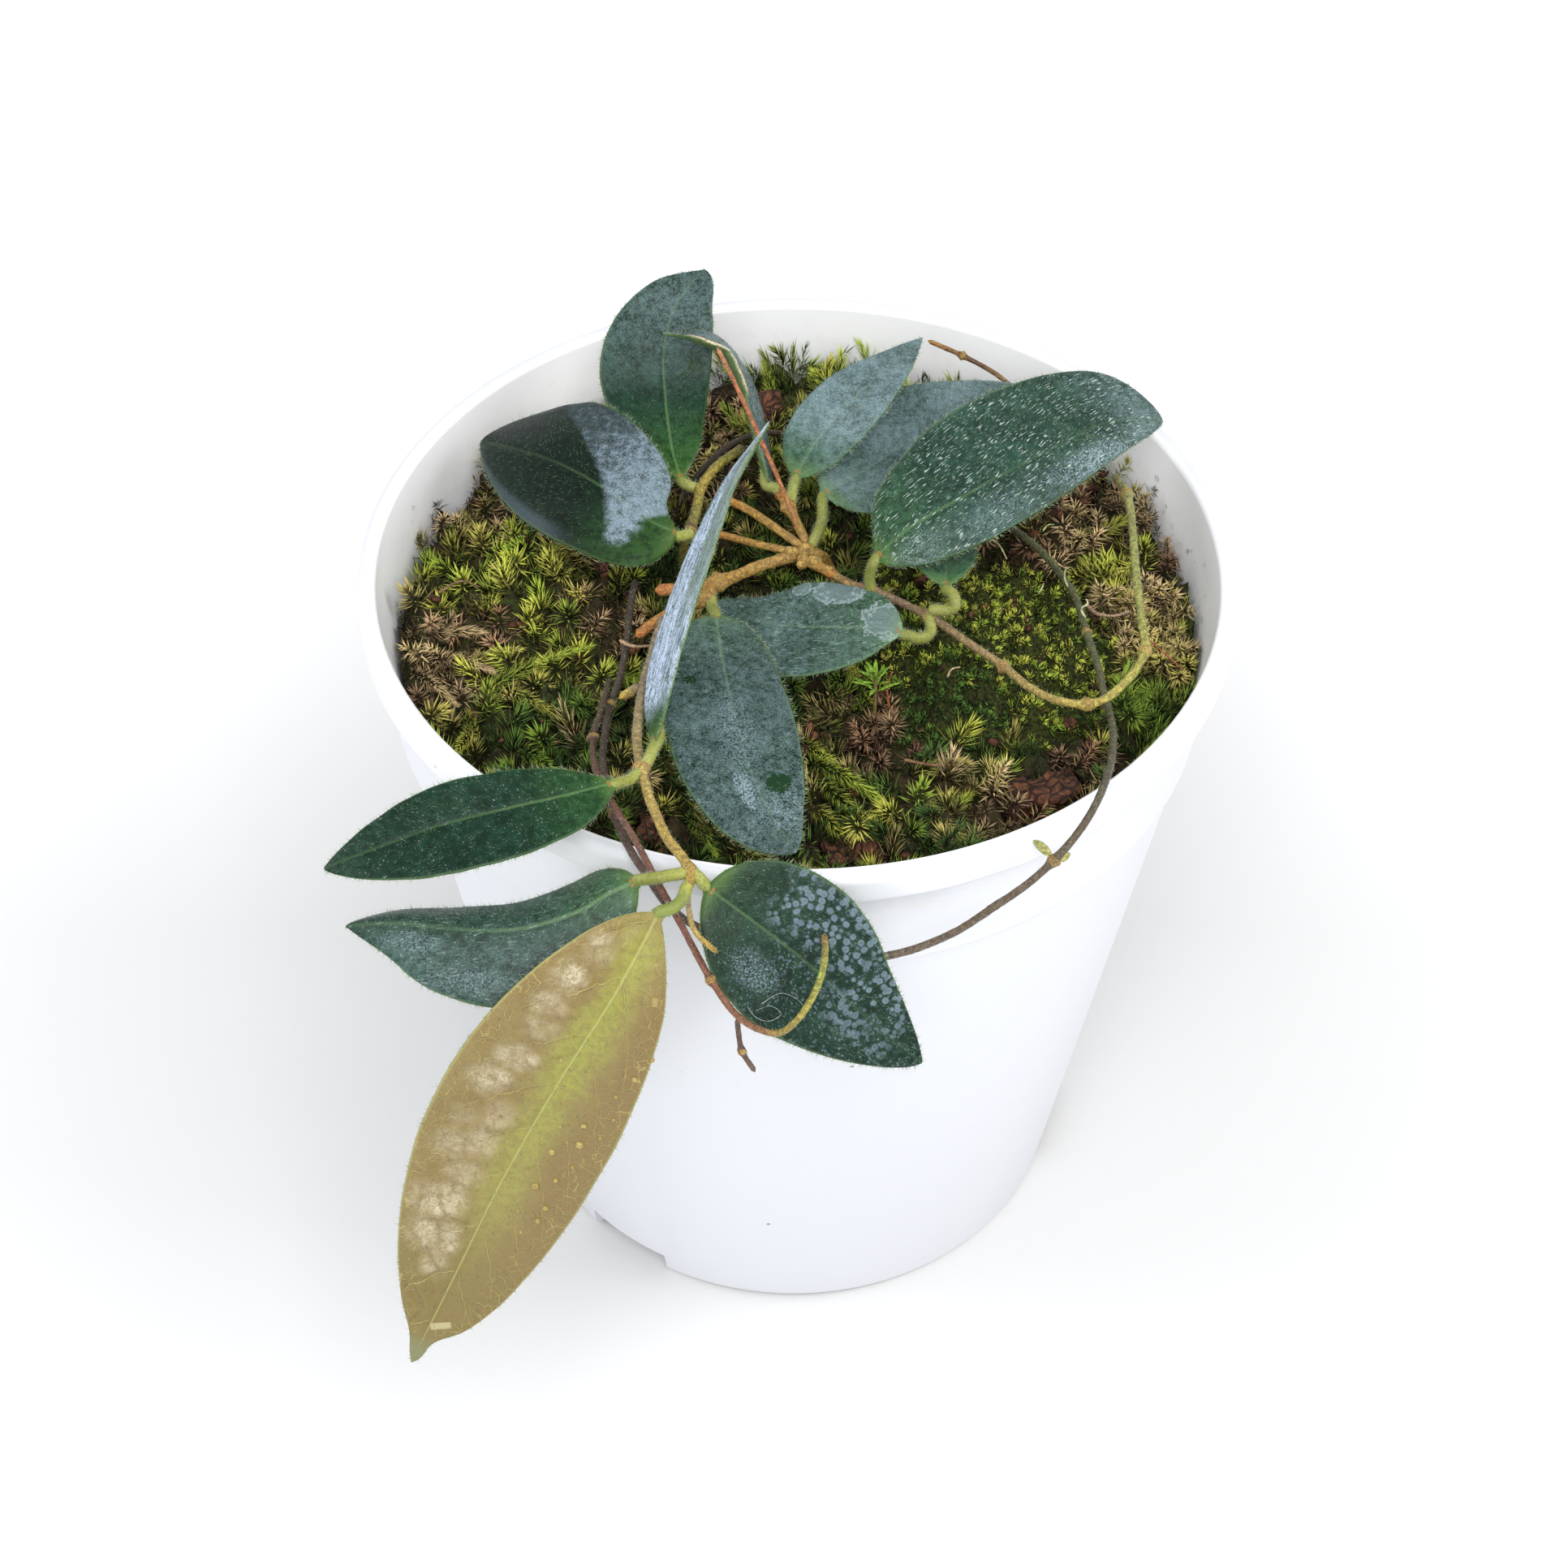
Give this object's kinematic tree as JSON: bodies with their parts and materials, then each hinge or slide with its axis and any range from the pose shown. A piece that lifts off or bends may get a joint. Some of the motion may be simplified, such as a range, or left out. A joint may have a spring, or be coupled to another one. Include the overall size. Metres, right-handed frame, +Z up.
{
  "type": "potted climbing wax plant",
  "caption": "Small-leaved climbing wax plant with hairy oval leaves on thin looping vines, rooted in mossy bark mix in a white plastic nursery pot.",
  "frame": {"origin": "centre of the pot's flat underside, on the surface the pot stands on", "axes": "+Z up out of the pot, -Y to the viewer's side where the bronze leaf hangs, +X to the viewer's right"},
  "size_m": [0.12, 0.1509, 0.1355],
  "materials": {
    "leaf_top": "deep green leaf with a grey bloom and fine hairs",
    "leaf_left_broad": "deep green leaf with a grey bloom and fine hairs",
    "leaf_curled": "grey green leaf with a mineral bloom and fine hairs",
    "leaf_upright": "grey green leaf with a mineral bloom and fine hairs",
    "leaf_centre": "grey green leaf with a mineral bloom and fine hairs",
    "leaf_lance": "deep green leaf with a grey bloom and fine hairs",
    "leaf_small": "deep green leaf with a grey bloom and fine hairs",
    "leaf_back": "grey green leaf with a mineral bloom and fine hairs",
    "leaf_behind": "grey green leaf with a mineral bloom and fine hairs",
    "leaf_big_right": "deep green leaf with a grey bloom and fine hairs",
    "leaf_low_left": "deep green leaf with a grey bloom and fine hairs",
    "leaf_wavy": "deep green leaf with a grey bloom and fine hairs",
    "leaf_bronze": "bronze leaf, yellow green along the midrib",
    "leaf_front_right": "deep green leaf with a grey bloom and fine hairs",
    "rooted_stem": "slightly rough stem",
    "right_vine": "slightly rough stem",
    "left_vine": "slightly rough stem",
    "front_vine": "slightly rough stem",
    "loop_vine": "slightly rough stem",
    "young_shoot": "slightly rough stem",
    "dry_flower_stalk": "slightly rough stem",
    "dry_root": "slightly rough stem",
    "dry_twig": "slightly rough stem",
    "dead_twig": "slightly rough stem",
    "moss_left_star": "living moss, soft and pointed",
    "moss_back_left": "living moss, soft and pointed",
    "moss_back_tufts": "living moss, soft and pointed",
    "moss_back_right": "living moss, soft and pointed",
    "moss_right_cushion": "living moss, soft and pointed",
    "moss_front_right": "living moss, soft and pointed",
    "moss_front_feather": "living moss, soft and pointed",
    "moss_middle": "living moss, soft and pointed",
    "seedling": "soft bright green leaflets",
    "pot": "semi gloss white moulded plastic",
    "growing_mix": "loose damp bark and coir",
    "bark": "dark red brown broken bark"
  },
  "bodies": {
    "root": {"leaf_top": "leaf_top", "leaf_left_broad": "leaf_left_broad", "leaf_curled": "leaf_curled", "leaf_upright": "leaf_upright", "leaf_centre": "leaf_centre", "leaf_lance": "leaf_lance", "leaf_small": "leaf_small", "leaf_back": "leaf_back", "leaf_behind": "leaf_behind", "leaf_big_right": "leaf_big_right", "leaf_low_left": "leaf_low_left", "leaf_wavy": "leaf_wavy", "leaf_bronze": "leaf_bronze", "leaf_front_right": "leaf_front_right", "rooted_stem": "rooted_stem", "right_vine": "right_vine", "left_vine": "left_vine", "front_vine": "front_vine", "loop_vine": "loop_vine", "young_shoot": "young_shoot", "dry_flower_stalk": "dry_flower_stalk", "dry_root": "dry_root", "dry_twig": "dry_twig", "dead_twig": "dead_twig", "moss_left_star": "moss_left_star", "moss_back_left": "moss_back_left", "moss_back_tufts": "moss_back_tufts", "moss_back_right": "moss_back_right", "moss_right_cushion": "moss_right_cushion", "moss_front_right": "moss_front_right", "moss_front_feather": "moss_front_feather", "moss_middle": "moss_middle", "seedling": "seedling", "pot": "pot", "growing_mix": "growing_mix", "bark_1": "bark", "bark_2": "bark", "bark_3": "bark", "bark_4": "bark", "bark_5": "bark", "bark_6": "bark"}
  },
  "joints": []
}
